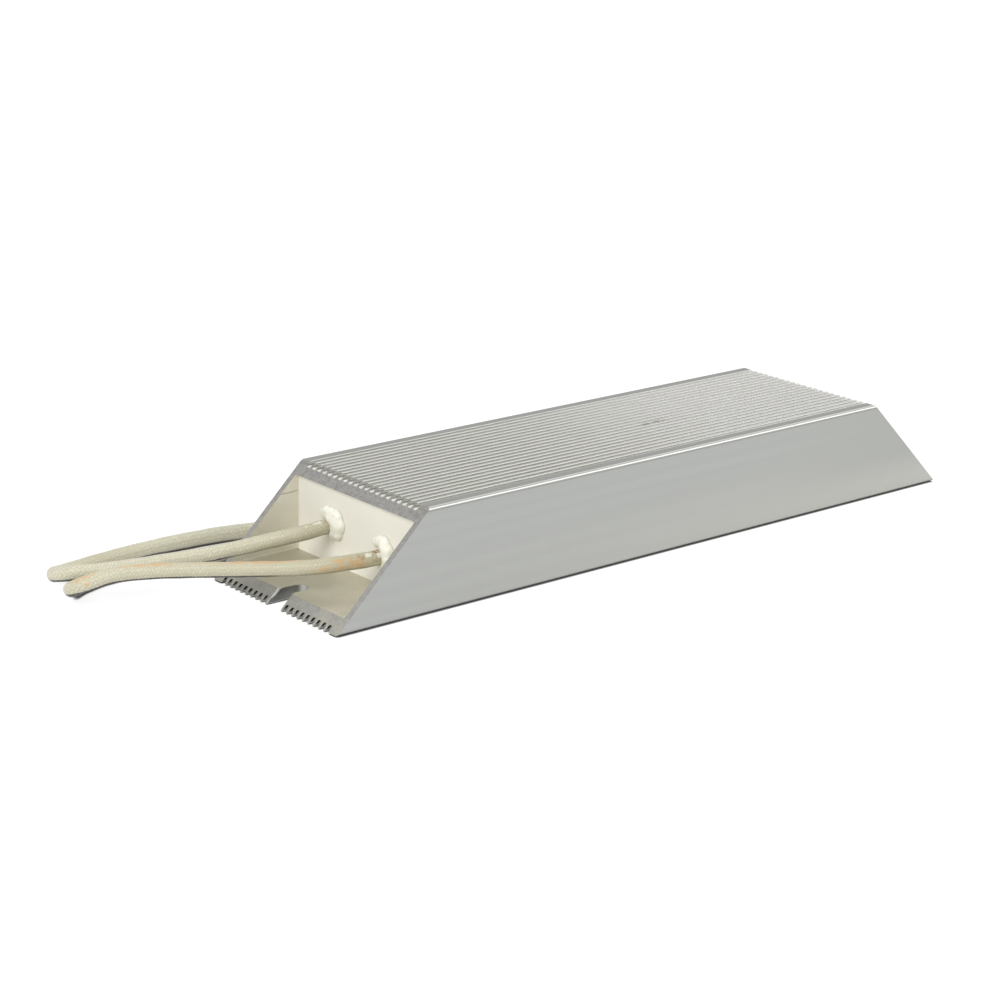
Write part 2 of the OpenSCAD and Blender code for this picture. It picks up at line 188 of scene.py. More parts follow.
def fade(s, start, stop, edge):
    """1 along a stretch, down to 0 at both its ends over the given share of its length."""
    return np.clip(np.minimum(s - start, stop - s) / (edge * (stop - start)), 0, 1)


def stains(marks, s, ring):
    """How far each of the three tones has soaked in, over the unrolled sleeve."""
    tones = np.zeros((3,) + ring.shape[:2])
    for start, stop, towards, width, tone, strength in marks:
        t = np.array(towards, dtype=float)
        side_on = ring @ (t / np.linalg.norm(t))
        around = np.clip((side_on - (1 - width)) / (0.6 * width), 0, 1)
        m = strength * fade(s, start, stop, 0.3)[:, None] * around
        tones[tone] = np.maximum(tones[tone], m)
    return tones


def colour_points(me, name, *channels):
    """Keeps four values for each vertex of a sleeve as a colour attribute."""
    att = me.color_attributes.new(name, "FLOAT_COLOR", "POINT")
    att.data.foreach_set("color", np.stack(channels, axis=-1)[:, :SIDES].reshape(-1))


def unwrap(me, U, V):
    """Yarn coordinates for the fibres, unwrapped over the seam of the tube."""
    corners = np.zeros((len(me.loops), 2))
    for k, W in enumerate((U, V)):
        w = np.stack([W[:-1, :-1], W[:-1, 1:], W[1:, 1:], W[1:, :-1]], axis=-1).reshape(-1)
        corners[: len(w), k] = w
    me.uv_layers.new(name="sleeve").data.foreach_set("uv", corners.reshape(-1))


def braided_lead(name, route, seed, soiled, marks):
    """A tube whose surface is a two-over, two-under braid of flat glass yarns.

    soiled lists darker stretches: from, to (metres from the exit) and how dark. marks are
    stains: from, to, the side they are on, width, tone and strength."""
    pts, s = smooth_line(np.array(route) / 1000.0, STEP)
    tan, side, top = carried_sides(pts)
    U, V = np.meshgrid(np.arange(SIDES + 1) / SIDES, turns_along(tan))
    h, tint, over = weave(U, V, np.random.default_rng(seed))
    radius = LEAD_D / 2 + CREST - RELIEF * (1 - h) + UNEVEN * (tint - 0.5)
    # a braid over a soft core is never quite round
    ang = 2 * np.pi * U
    radius = radius * (1 + OVAL * np.sin(2 * ang + 9 * V) + LOBED * np.sin(3 * ang - 5 * V))
    ring = np.cos(ang)[..., None] * side[:, None, :] + np.sin(ang)[..., None] * top[:, None, :]
    verts = (pts[:, None, :] + radius[..., None] * ring)[:, :SIDES].reshape(-1, 3)
    n = len(pts)
    idx = np.arange(n * SIDES).reshape(n, SIDES)
    nxt = np.roll(idx, -1, axis=1)
    faces = np.stack([idx[:-1], nxt[:-1], nxt[1:], idx[1:]], axis=-1).reshape(-1, 4).tolist()
    faces.append(idx[0, ::-1].tolist())
    faces.append(idx[-1].tolist())
    ob = new_mesh(name, verts, faces)
    unwrap(ob.data, U, V)
    # how far each point faces down, for the painted shade on the leads' undersides
    facing_down = 0.5 - 0.5 * ring[..., 2]
    colour_points(ob.data, "weave", h, tint, over, facing_down)
    soil = np.zeros_like(s)
    for start, stop, dark in soiled:
        soil = np.maximum(soil, dark * fade(s, start, stop, 0.45))
    colour_points(ob.data, "marks", *stains(marks, s, ring), soil[:, None] * np.ones_like(U))
    return ob, pts


ORANGE, BROWN, PASTE = 0, 1, 2
# directions that a mark faces
TOP = (-0.3, -0.4, 1.0)
RIDGE = (0.05, 0.05, 1.0)
NEAR = (0.0, -1.0, 0.25)
BACK_SOIL = [(-0.03, 0.035, 0.75), (0.085, 0.128, 0.7)]
BACK_MARKS = [
    (0.0030, 0.0068, (0, -0.35, 1.0), 0.09, PASTE, 0.75),
    (0.0074, 0.0092, (0, -0.45, 1.0), 0.06, PASTE, 0.6),
    (0.0015, 0.0035, NEAR, 0.7, BROWN, 0.35),
    (0.074, 0.092, (0.5, -0.9, 0.45), 0.12, ORANGE, 0.6)]
FRONT_SOIL = [(-0.1, 0.12, 0.85)]
FRONT_MARKS = [
    (0.0012, 0.0048, TOP, 0.75, BROWN, 1.0),
    (0.0016, 0.0034, (0, -0.75, 0.6), 0.10, PASTE, 0.8),
    (0.0040, 0.0066, (0, -0.55, 0.8), 0.10, PASTE, 0.75),
    (0.0050, 0.0180, NEAR, 0.50, ORANGE, 1.0),
    (0.0120, 0.0230, (0, -1.0, -0.05), 0.30, ORANGE, 0.8),
    (0.0060, 0.0090, (0, -0.7, 0.7), 0.22, BROWN, 0.5),
    (0.022, 0.050, RIDGE, 0.20, ORANGE, 1.0),
    (0.044, 0.059, RIDGE, 0.10, ORANGE, 0.5),
    (0.058, 0.080, (-0.1, -0.1, 1.0), 0.12, ORANGE, 0.9),
    (0.079, 0.092, (-0.5, -0.1, 0.85), 0.14, ORANGE, 0.8),
    (0.0868, 0.0882, (-0.4, -0.9, 0.3), 0.07, ORANGE, 0.8)]
lead_back, path_back = braided_lead("braided_lead_back", BACK_ROUTE, 3, BACK_SOIL, BACK_MARKS)
lead_front, path_front = braided_lead("braided_lead_front", FRONT_ROUTE, 8, FRONT_SOIL, FRONT_MARKS)
for ob, path, node, lug in ((lead_back, path_back, "lead_back", "ring_lug_back"),
                            (lead_front, path_front, "lead_front", "ring_lug_front")):
    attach(ob, "root")
    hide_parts(node)

# ---------------------------------------------------------------- cement beads
# the lumps that a bead is laid from, in millimetres: place beside and above the lead, radius, height
BACK_DROPS = [(3.0, 3.0, 2.0, 0.9), (1.2, 3.8, 2.2, 1.4), (-1.0, 3.8, 2.4, 1.9), (-3.0, 3.0, 2.9, 2.2),
              (-4.0, 1.0, 2.9, 2.2), (-3.6, -1.0, 2.5, 2.0), (-2.0, -1.9, 2.0, 1.6)]
FRONT_DROPS = [(2.9, 3.4, 1.6, 0.8), (0.9, 4.2, 2.1, 1.5), (-1.3, 3.9, 2.5, 2.1), (-2.7, 2.4, 2.5, 2.2),
               (-3.1, 0.2, 2.2, 2.0), (-1.9, -1.8, 2.1, 1.7), (0.1, -2.8, 1.7, 1.4)]
BEAD_BORE = LEAD_D / 2 * 1000 + 0.02    # millimetres, as all sizes of the beads
BEAD_CELL = 0.16                        # spacing of the points that a bead's surface is made on
BEAD_REACH = 9.0                        # farthest that its paste may lie from the lead's axis
BEAD_EDGE = 0.02                        # height below which there is no paste
DROP_SPREAD = 1.04                      # how much a drop's area grows as the paste runs together
DROP_ROUND = 0.62                       # 0.5 would make a drop half round, 1 gives it gentler sides
DROP_JOIN = 5                           # the higher, the sharper the creases between drops
OUTLINE_SCALE = 0.30                    # how quickly the outline's unevenness changes, per millimetre
OUTLINE_SWAY = 0.30                     # and how far it goes
LUMP_SCALE, LUMP_SHARE = 0.5, 0.16      # the same for the lumps of the surface, as a share of its height
GRAIN_SCALE, GRAIN_HEIGHT = 1.7, 0.06   # and for its grain
FILLET = 0.5                            # height and width of the fillet up the lead
BACK_DEPTH = 0.00001                    # metres that the bead's back lies in the seal
WELD = 0.000004                         # metres within which two points become one
SMOOTHINGS = 3
seal_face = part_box("lead_end_seal")[0].x


def drops_height(y, z, drops, seed):
    """Height of the drops where they run into one another, with their outline a little uneven."""
    here = Vector((y * OUTLINE_SCALE, z * OUTLINE_SCALE, seed))
    y += OUTLINE_SWAY * noise.noise(here)
    z += OUTLINE_SWAY * noise.noise(here + Vector((9, 4, 2)))
    total = 0.0
    for dy, dz, foot, rise in drops:
        d2 = ((y - dy) ** 2 + (z - dz) ** 2) / (foot * foot * DROP_SPREAD)
        if d2 < 1:
            total += (rise * (1 - d2) ** DROP_ROUND) ** DROP_JOIN
    return total ** (1 / DROP_JOIN)


def bead_top(drops, seed):
    """Points of the bead's surface (beside, above, height, distance from the axis), and their numbers."""
    n = int(2 * BEAD_REACH / BEAD_CELL) + 1
    top, index = [], {}
    for i in range(n):
        for j in range(n):
            y, z = -BEAD_REACH + i * BEAD_CELL, -BEAD_REACH + j * BEAD_CELL
            h = drops_height(y, z, drops, seed)
            if h < BEAD_EDGE:
                continue
            r = math.hypot(y, z)
            lump = noise.noise(Vector((y * LUMP_SCALE, z * LUMP_SCALE, seed + 7)))
            grain = noise.noise(Vector((y * GRAIN_SCALE, z * GRAIN_SCALE, seed + 3)))
            h = h * (1 + LUMP_SHARE * lump) + GRAIN_HEIGHT * grain * min(1, h)
            h += FILLET * math.exp(-max(r - BEAD_BORE, 0) / FILLET) * min(1, h)
            index[i, j] = len(top)
            top.append((y, z, max(h, BEAD_EDGE), r))
    return top, index


def bead_faces(top, index):
    """Faces over the bead, under it and round its rims; its back has the same points behind its top's."""
    base = len(top)
    faces, edges = [], {}
    for i, j in index:
        quad = [(i, j), (i + 1, j), (i + 1, j + 1), (i, j + 1)]
        if any(q not in index for q in quad):
            continue
        ids = [index[q] for q in quad]
        if all(top[k][3] < BEAD_BORE for k in ids):
            continue
        faces.append(tuple(ids[::-1]))
        faces.append(tuple(base + k for k in ids))
        edges.update(dict.fromkeys(zip(ids, ids[1:] + ids[:1])))
    for a, b in edges:
        if (b, a) not in edges:
            faces.append((a, b, base + b, base + a))
    return faces


def soften(me):
    """Rounds the bead's surface off and leaves its back flat on the seal."""
    bm = bmesh.new()
    bm.from_mesh(me)
    bmesh.ops.remove_doubles(bm, verts=bm.verts, dist=WELD)
    bmesh.ops.delete(bm, geom=[v for v in bm.verts if not v.link_faces], context="VERTS")
    skin = [v for v in bm.verts if v.co.x < seal_face - BACK_DEPTH]
    for _ in range(SMOOTHINGS):
        bmesh.ops.smooth_vert(bm, verts=skin, factor=0.5, use_axis_x=True, use_axis_y=True, use_axis_z=True)
    bmesh.ops.recalc_face_normals(bm, faces=bm.faces)
    bm.to_mesh(me)
    bm.free()


def bead(name, exit_y, exit_z, drops, seed):
    """Paste laid round a lead and set: a soft crescent on the seal, with a fillet where it meets the lead."""
    top, index = bead_top(drops, seed)
    verts = []
    for y, z, h, r in top:
        if r < BEAD_BORE:
            y, z = y * BEAD_BORE / max(r, 0.01), z * BEAD_BORE / max(r, 0.01)
        verts.append((seal_face - h / 1000, (exit_y + y) / 1000, (exit_z + z) / 1000))
    verts += [(seal_face + BACK_DEPTH, y, z) for _, y, z in verts]
    ob = new_mesh(name, verts, bead_faces(top, index))
    soften(ob.data)
    for v in ob.data.vertices:  # nothing sinks into the lead
        y, z = v.co.y - exit_y / 1000, v.co.z - exit_z / 1000
        r = math.hypot(y, z)
        if r < BEAD_BORE / 1000:
            v.co.y = exit_y / 1000 + y / r * BEAD_BORE / 1000
            v.co.z = exit_z / 1000 + z / r * BEAD_BORE / 1000
    return ob


bead_back = bead("set_bead_back", *BACK_ROUTE[0][1:], BACK_DROPS, 1.7)
bead_front = bead("set_bead_front", *FRONT_ROUTE[0][1:], FRONT_DROPS, 5.2)
for ob, node in ((bead_back, "cement_bead_back"), (bead_front, "cement_bead_front")):
    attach(ob, "root")
    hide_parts(node)


# ---------------------------------------------------------------- materials
class Nodes:
    """Short ways of adding nodes to a tree. A value may be a number or another node's socket."""

    def __init__(self, tree):
        self.t = tree
        self.t.nodes.clear()

    def put(self, sock, val):
        if isinstance(val, bpy.types.NodeSocket):
            self.t.links.new(val, sock)
        elif val is not None:
            sock.default_value = val

    def n(self, kind, *vals, **props):
        nd = self.t.nodes.new("ShaderNode" + kind)
        for k, v in props.items():
            setattr(nd, k, v)
        for s, v in zip(nd.inputs, vals):
            self.put(s, v)
        return nd

    def math(self, op, a, b=None, c=None, clamp=False):
        nd = self.n("Math", a, b, c, operation=op)
        nd.use_clamp = clamp
        return nd.outputs[0]

    def times(self, *factors):
        out = factors[0]
        for f in factors[1:]:
            out = self.math("MULTIPLY", out, f)
        return out

    def plus(self, a, b):
        return self.math("ADD", a, b)

    def rest(self, v):
        """What v leaves of 1."""
        return self.math("SUBTRACT", 1.0, v)

    def absolute(self, v):
        return self.math("ABSOLUTE", v)

    def ramp(self, v, lo, hi, a=0.0, b=1.0):
        """v from lo..hi to a..b, clamped and smooth."""
        nd = self.n("MapRange", v, lo, hi, a, b, interpolation_type="SMOOTHSTEP")
        return nd.outputs[0]

    def band(self, v, a, b, c, d):
        """1 from b to c, down to 0 at a and at d."""
        return self.times(self.ramp(v, a, b), self.ramp(v, d, c))

    def near(self, v, centre, edge, core):
        """1 where v is within core of the centre, down to 0 at edge."""
        return self.ramp(self.absolute(self.math("SUBTRACT", v, centre)), edge, core)

    def where(self):
        return self.n("TexCoord").outputs["Object"]

    def split(self, v):
        return self.n("SeparateXYZ", v).outputs

    def noise(self, scale, detail=2.0, rough=0.5, stretch=(1, 1, 1), offset=(0, 0, 0)):
        mp = self.n("Mapping")
        self.put(mp.inputs["Vector"], self.where())
        mp.inputs["Scale"].default_value = stretch
        mp.inputs["Location"].default_value = offset
        nd = self.n("TexNoise")
        self.put(nd.inputs["Vector"], mp.outputs[0])
        nd.inputs["Scale"].default_value = scale
        nd.inputs["Detail"].default_value = detail
        nd.inputs["Roughness"].default_value = rough
        return nd.outputs["Fac"]

    def mix(self, f, a, b):
        nd = self.n("Mix", data_type="RGBA")
        self.put(nd.inputs[0], f)
        self.put(nd.inputs[6], (*a, 1) if isinstance(a, tuple) else a)
        self.put(nd.inputs[7], (*b, 1) if isinstance(b, tuple) else b)
        return nd.outputs[2]

    def lerp(self, f, a, b):
        nd = self.n("Mix", data_type="FLOAT")
        self.put(nd.inputs[0], f)
        self.put(nd.inputs[2], a)
        self.put(nd.inputs[3], b)
        return nd.outputs[0]

    def bump(self, height, strength, distance):
        nd = self.n("Bump")
        nd.inputs["Strength"].default_value = strength
        nd.inputs["Distance"].default_value = distance
        self.put(nd.inputs["Height"], height)
        return nd.outputs[0]


class Paint(Nodes):
    """A new material with one Principled surface."""

    def __init__(self, name):
        self.m = bpy.data.materials.new(name)
        self.m.use_nodes = True
        super().__init__(self.m.node_tree)
        self.b = self.n("BsdfPrincipled")
        self.n("OutputMaterial", self.b.outputs[0])

    def set(self, **kw):
        for k, v in kw.items():
            self.put(self.b.inputs[k.replace("_", " ")], v)
        return self.m


def srgb(r, g, b):
    def linear(c):
        c /= 255
        return c / 12.92 if c <= 0.04045 else ((c + 0.055) / 1.055) ** 2.4
    return linear(r), linear(g), linear(b)


hlo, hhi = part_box("housing")
tall = hhi.z - hlo.z
wide = hhi.y
FIN_PITCH = 0.0025
SAW_SLOPE = 1.0355      # how far a sawn end leans back for each metre of height


def housing_places(p):
    """Where a point lies on the housing, and the places with a look of their own, each from 0 to 1."""
    x, y, z = p.split(p.where())
    nx, ny, nz = p.split(p.n("NewGeometry").outputs["True Normal"])
    ax, ay = p.absolute(x), p.absolute(y)
    down = p.math("SUBTRACT", tall, z)      # from the top face
    inward = p.math("SUBTRACT", wide, ay)   # from the nearer side face
    sawn = p.ramp(p.absolute(nx), 0.45, 0.6)
    upright = p.ramp(p.absolute(ny), 0.7, 0.95)
    finned = p.ramp(inward, 0.0035, 0.0040)
    far = p.ramp(x, -0.05, 0.06)
    # inner faces of the end recesses: inside the walls and between the plates
    between = p.times(p.ramp(z, 0.0037, 0.00385), p.ramp(down, 0.0037, 0.00385))
    inside = p.times(p.ramp(inward, 0.0008, 0.0016), between, p.rest(sawn))
    deep = p.plus(p.band(down, 0.0002, 0.0006, 0.0018, 0.0020), p.band(z, 0.0002, 0.0006, 0.0018, 0.0020))
    groove = p.times(deep, finned, p.rest(sawn))
    # the flat strips beside the fins
    strip = p.times(p.ramp(nz, 0.8, 0.97), p.ramp(inward, 0.0046, 0.0042))
    # front flanks of the fins, towards the back of the closed end
    flank = p.times(p.band(down, 0.0001, 0.0002, 0.0018, 0.0020), p.ramp(ny, -0.5, -0.8), finned)
    flank = p.times(flank, p.ramp(x, -0.02, 0.06), p.ramp(y, -0.016, 0.014, 0.15, 1.0))
    # milled walls of the open slots
    milled = p.times(p.ramp(ay, 0.0040, 0.0036), p.ramp(z, 0.0039, 0.0038))
    milled = p.times(milled, p.ramp(p.absolute(nz), 0.5, 0.3), p.ramp(ax, 0.109, 0.111))
    return SimpleNamespace(
        x=x, y=y, z=z, ax=ax, down=down, inward=inward, nz=nz, sawn=sawn, upright=upright, far=far,
        inside=inside, groove=groove, strip=strip, flank=flank, milled=milled)


def drawn_skin(p, at, fine, broad):
    """Die lines that run the length of the extrusion, and the tones of its sides, with painted light and
    shade on them.
    """
    cloud = p.noise(22, 3, 0.55, offset=(1, 4, 2))
    base = p.mix(p.ramp(broad, 0.35, 0.65), srgb(160, 161, 158), srgb(164, 165, 162))
    base = p.mix(p.times(p.ramp(fine, 0.3, 0.72), 0.35), base, srgb(157, 158, 156))
    base = p.mix(p.times(p.ramp(cloud, 0.55, 0.8), 0.2), base, srgb(173, 174, 171))
    # the flat strips beside the fins are a little duller than the sides
    base = p.mix(p.times(at.strip, 0.8), base, srgb(147, 147, 144))
    # the lower part of the sides catches more light towards the closed end
    low_side = p.times(p.ramp(at.z, 0.024, 0.001), p.ramp(at.x, -0.13, 0.10), at.upright)
    base = p.mix(low_side, base, srgb(170, 170, 164))
    # painted shade high on the sides towards the closed end
    high_side = p.times(at.upright, p.ramp(at.x, 0.02, 0.12, 0.0, 0.8), p.ramp(at.z, 0.004, 0.014))
    return p.mix(high_side, base, srgb(156, 157, 153))


def fins(p, at, base):
    """Painted highlight and shade across the fin tops, even tones towards the closed end, and a painted
    highlight along the long upper edges.
    """
    between_strips = p.ramp(at.inward, 0.0035, 0.0042)
    tops = p.times(p.ramp(at.down, 0.0003, 0.0001), p.ramp(at.nz, 0.6, 0.95), between_strips)
    # distance across a fin from its middle, in pitches
    across = p.math("SUBTRACT", p.math("FRACT", p.math("DIVIDE", at.y, FIN_PITCH)), 0.5)
    # painted highlight on the near half of each fin top and painted shade on its far half; towards the closed
    # end one even tone
    crest = p.mix(p.ramp(across, 0.14, -0.12), srgb(152, 152, 147), srgb(212, 211, 204))
    base = p.mix(p.times(tops, 0.9), base, p.mix(at.far, crest, srgb(198, 197, 194)))
    # towards the closed end the fin tips take a darker even tone, so the fins show less relief
    tips = p.times(p.ramp(at.down, 0.0004, 0.0002), p.band(at.nz, 0.2, 0.35, 0.9, 0.97))
    tips = p.times(tips, at.far, between_strips)
    base = p.mix(p.times(tips, 0.8), base, srgb(168, 168, 163))
    # a painted highlight along the long upper edges and a hair of the strip beside them
    lit = p.times(p.ramp(at.nz, 0.8, 0.95), p.ramp(at.inward, 0.0013, 0.0007))
    return p.mix(p.times(lit, 0.75), base, srgb(232, 232, 226))


def sawn_ends(p, at, base, saw):
    """Faces torn by the saw, with painted light that makes them lighter towards the base."""
    torn = p.noise(820, 3, 0.6, offset=(4, 7, 3))
    cut = p.mix(p.ramp(saw, 0.3, 0.7), srgb(144, 143, 140), srgb(162, 161, 158))
    cut = p.mix(p.ramp(torn, 0.46, 0.66, 0.0, 0.5), cut, srgb(126, 124, 120))
    cut = p.mix(p.ramp(torn, 0.42, 0.28, 0.0, 0.5), cut, srgb(178, 176, 170))
    # painted light, stronger towards the base
    cut = p.mix(p.ramp(at.down, 0.0, tall, 0.0, 0.25), cut, srgb(178, 176, 168))
    return p.mix(at.sawn, base, cut)


def groove_walls(p, at, base):
    # painted light on the groove walls, lightest towards the closed end
    base = p.mix(at.groove, base, p.mix(at.far, srgb(222, 222, 214), srgb(240, 239, 236)))
    # painted light on the front flanks of the fins
    base = p.mix(at.flank, base, srgb(207, 206, 202))
    # half-way down, painted shade on the walls of the upper grooves
    wall_shade = p.band(at.down, 0.0006, 0.0008, 0.0011, 0.0013)
    base = p.mix(p.times(wall_shade, 0.8), base, srgb(140, 139, 136))
    # painted shade overhead in the lower grooves and on their walls beside the saw cut, painted light on
    # their walls further in
    below = p.times(p.ramp(at.z, 0.0030, 0.0020), at.groove)
    from_cut = p.math("SUBTRACT", hhi.x, p.math("MULTIPLY_ADD", at.z, SAW_SLOPE, at.ax))
    leg = p.mix(p.ramp(from_cut, 0.0010, 0.0014), srgb(62, 62, 59), srgb(236, 234, 226))
    base = p.mix(below, base, p.mix(p.ramp(at.nz, -0.25, -0.55), leg, srgb(60, 60, 57)))
    # painted shade on the down-facing edges it stands on
    painted_edge_shade = p.times(p.ramp(at.z, 0.0008, 0.0003), p.ramp(at.nz, -0.1, -0.4))
    return p.mix(p.times(painted_edge_shade, 0.9), base, srgb(84, 84, 82))


def slot_walls(p, at, base, fine):
    # painted shade on the slot walls by the mouth, lighter further in, a painted highlight at the closed end,
    # and darker die lines
    wall = p.mix(p.ramp(at.ax, 0.122, 0.114), srgb(118, 121, 118), srgb(158, 159, 154))
    wall = p.mix(p.ramp(at.ax, 0.1136, 0.1124), wall, srgb(226, 226, 222))
    wall = p.mix(p.times(p.ramp(fine, 0.3, 0.7), 0.3), wall, srgb(100, 102, 100))
    return p.mix(at.milled, base, wall)


def recess_wash(p, at, base):
    """A thin film of cement wash on the metal inside the recesses, and some run out over the lip."""
    film = p.noise(55, 4, 0.6, offset=(7, 1, 2))
    wash = p.mix(p.ramp(film, 0.3, 0.7), srgb(236, 233, 221), srgb(242, 240, 229))
    # on the floor it is darker, most of all on the side away from the camera
    film_on_floor = p.ramp(p.plus(film, p.times(at.y, -9.0)), 0.3, 0.85)
    floor_wash = p.mix(film_on_floor, srgb(201, 197, 179), srgb(223, 219, 203))
    wash = p.mix(p.ramp(at.nz, 0.4, 0.8), wash, floor_wash)
    # painted shade in the rounded corners where the floor meets the walls
    corner = p.times(p.band(at.nz, 0.2, 0.35, 0.9, 0.97), p.ramp(at.z, 0.009, 0.007))
    wash = p.mix(p.times(corner, 0.7), wash, srgb(176, 171, 153))
    base = p.mix(p.times(at.inside, 0.85), base, wash)
    spill = p.times(at.sawn, p.ramp(at.z, 0.0044, 0.0036), p.ramp(film, 0.35, 0.6))
    return p.mix(p.times(spill, 0.5), base, srgb(190, 186, 168))


def housing_marks(p, at, base):
    # small rubbed marks on the fin tops, a little past the middle
    spot = p.times(p.near(at.x, 0.0205, 0.0070, 0.0030), p.near(at.y, -0.0020, 0.0018, 0.0012))
    spot = p.times(spot, p.ramp(p.noise(330, 2, 0.6), 0.42, 0.56))
    base = p.mix(p.times(spot, 0.42), base, srgb(120, 119, 115))
    # a scratch along the inner far wall, beside the back lead
    wavy = p.plus(at.z, p.times(p.noise(160, 2, 0.5, offset=(8, 8, 1)), 0.0008))
    scratch = p.times(p.near(at.x, -0.0987, 0.0040, 0.0028), p.near(wavy, 0.0223, 0.00028, 0.00010))
    scratch = p.times(scratch, at.inside, p.ramp(at.y, 0.0, 0.02))
    return p.mix(p.times(scratch, 0.45), base, srgb(120, 116, 104))


def aluminium():
    p = Paint("extruded_aluminium")
    at = housing_places(p)
    # die lines run the length of the extrusion; a few are broad, most are hair-fine
    fine = p.noise(1.0, 3, 0.65, (5, 2600, 2600))
    broad = p.noise(1.0, 2, 0.5, (2, 420, 420), offset=(3, 1, 7))
    saw = p.noise(1.0, 4, 0.7, (2400, 520, 2400), offset=(5, 2, 1))
    chatter = p.noise(1.0, 2, 0.5, (600, 14, 600), offset=(2, 8, 1))
    base = drawn_skin(p, at, fine, broad)
    base = fins(p, at, base)
    base = sawn_ends(p, at, base, saw)
    base = groove_walls(p, at, base)
    base = slot_walls(p, at, base, fine)
    base = recess_wash(p, at, base)
    base = housing_marks(p, at, base)
    rough = p.lerp(at.sawn, p.ramp(broad, 0.3, 0.7, 0.34, 0.42), p.ramp(saw, 0.3, 0.7, 0.5, 0.62))
    rough = p.lerp(at.inside, rough, 0.5)
    rough = p.lerp(at.groove, rough, 0.55)
    rough = p.lerp(at.strip, rough, 0.52)
    metal = p.lerp(p.times(at.groove, at.far), p.lerp(at.groove, 0.9, 0.78), 0.1)
    metal = p.lerp(at.flank, metal, 0.1)
    lines = p.plus(p.times(fine, 0.5), p.times(broad, 0.6))
    cuts = p.plus(p.times(saw, 0.6), p.times(chatter, 0.9))
    relief = p.lerp(at.sawn, p.times(lines, 0.25), cuts)
    return p.set(Base_Color=base, Metallic=metal, Roughness=rough,
                 Normal=p.bump(relief, 0.55, 0.00006))


def cement():
    p = Paint("seal_cement")
    z = p.split(p.where())[2]
    cloud = p.noise(60, 4, 0.6)
    grain = p.noise(900, 3, 0.7, offset=(2, 3, 1))
    pore = p.noise(340, 2, 0.5, offset=(9, 3, 4))
    stain = p.noise(130, 3, 0.6, offset=(4, 4, 9))
    base = p.mix(p.ramp(cloud, 0.3, 0.7), srgb(236, 232, 220), srgb(242, 239, 229))
    base = p.mix(p.times(p.ramp(stain, 0.62, 0.78), 0.35), base, srgb(214, 203, 170))
    base = p.mix(p.times(p.ramp(pore, 0.7, 0.76), 0.4), base, srgb(176, 158, 122))
    # painted shade under the top plate, painted light towards the base
    base = p.mix(p.ramp(z, 0.010, 0.021, 0.0, 0.7), base, srgb(225, 221, 209))
    base = p.mix(p.ramp(z, 0.012, 0.006, 0.0, 0.8), base, srgb(249, 246, 236))
    relief = p.plus(p.times(grain, 0.5), p.times(cloud, 0.8))
    return p.set(Base_Color=base, Roughness=0.72, Normal=p.bump(relief, 0.5, 0.00012))


def bead_paste():
    p = Paint("bead_cement")
    cloud = p.noise(300, 3, 0.6)
    stain = p.noise(420, 2, 0.5, offset=(3, 1, 5))
    base = p.mix(p.ramp(cloud, 0.3, 0.7), srgb(234, 232, 216), srgb(243, 242, 231))
    base = p.mix(p.times(p.ramp(stain, 0.64, 0.74), 0.35), base, srgb(206, 190, 152))
    return p.set(Base_Color=base, Roughness=0.28, Coat_Weight=0.35, Coat_Roughness=0.15,
                 Subsurface_Weight=0.08, Subsurface_Radius=(0.002, 0.0016, 0.001),
                 Normal=p.bump(p.noise(700, 2, 0.5), 0.25, 0.0001))


FIBRES = 5      # fibres that show across a yarn


def yarns(p, h, tint, over):
    """Colour of the clean sleeve, and its fibres, which run along whichever yarn is on top."""
    u, v, _ = p.split(p.n("UVMap", uv_map="sleeve").outputs[0])
    ua = p.times(p.plus(u, v), YARNS * 2 * math.pi * FIBRES)
    ub = p.times(p.math("SUBTRACT", u, v), YARNS * 2 * math.pi * FIBRES)
    fibre = p.lerp(over, p.math("SINE", ub), p.math("SINE", ua))
    fibre = p.math("MULTIPLY_ADD", fibre, 0.5, 0.5)
    # painted shade in the dips between the yarns, lighter on their crests
    base = p.mix(p.ramp(h, 0.1, 0.95), srgb(185, 180, 155), srgb(209, 205, 183))
    base = p.mix(p.times(tint, 0.12), base, srgb(232, 229, 212))
    base = p.mix(p.times(fibre, 0.12), base, srgb(196, 189, 160))
    base = p.mix(p.times(p.ramp(p.noise(60, 3, 0.6), 0.45, 0.75), 0.25), base, srgb(198, 190, 158))
    # painted glints as light flecks on the yarns' crests, and dark flecks all over
    fleck = p.times(p.ramp(p.noise(1300, 2, 0.6, offset=(2, 9, 4)), 0.54, 0.64), p.ramp(h, 0.45, 0.85))
    base = p.mix(p.times(fleck, 0.45), base, srgb(238, 236, 223))
    speck = p.ramp(p.noise(1500, 2, 0.6, offset=(7, 1, 8)), 0.54, 0.66)
    return p.mix(p.times(speck, 0.35), base, srgb(172, 166, 138)), fibre


